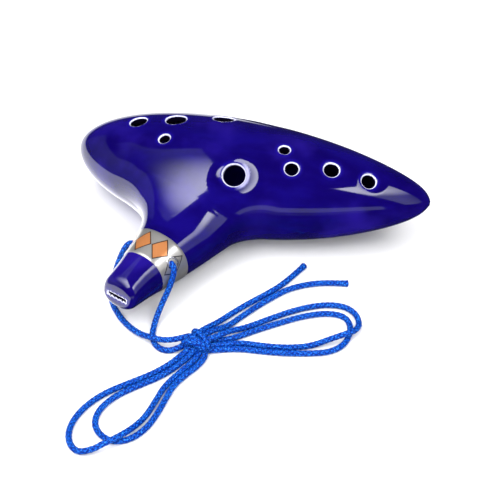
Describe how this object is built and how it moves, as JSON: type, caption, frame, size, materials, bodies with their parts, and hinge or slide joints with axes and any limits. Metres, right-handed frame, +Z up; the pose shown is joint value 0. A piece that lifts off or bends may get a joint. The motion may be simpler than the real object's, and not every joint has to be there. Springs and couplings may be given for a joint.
{
  "type": "ocarina",
  "caption": "Transverse glazed ceramic ocarina with finger holes, a beak mouthpiece, a patterned silver neck band and a knotted neck cord",
  "frame": {"origin": "middle of the ocarina's outline without its cord, on the surface that it stands on", "axes": "+X along the body to its pointed tail, +Y away from the player, +Z up with the finger holes; the beak points towards -Y"},
  "size_m": [0.175, 0.1981, 0.0489],
  "materials": {
    "blue_glaze": "glossy",
    "silver_lustre": "satin",
    "braided_cord": "satin braid"
  },
  "bodies": {
    "root": {"upper_shell": "blue_glaze", "lower_shell": "blue_glaze", "mouthpiece": "blue_glaze", "silver_band": "silver_lustre", "cord_eyelet_right": "silver_lustre", "cord_eyelet_left": "silver_lustre", "cord_right_run": "braided_cord", "cord_left_run": "braided_cord", "cord_outer_right_loop": "braided_cord", "cord_inner_right_loop": "braided_cord", "cord_outer_left_loop": "braided_cord", "cord_inner_left_loop": "braided_cord", "cord_upper_end": "braided_cord", "cord_lower_end": "braided_cord", "cord_knot": "braided_cord"}
  },
  "joints": []
}
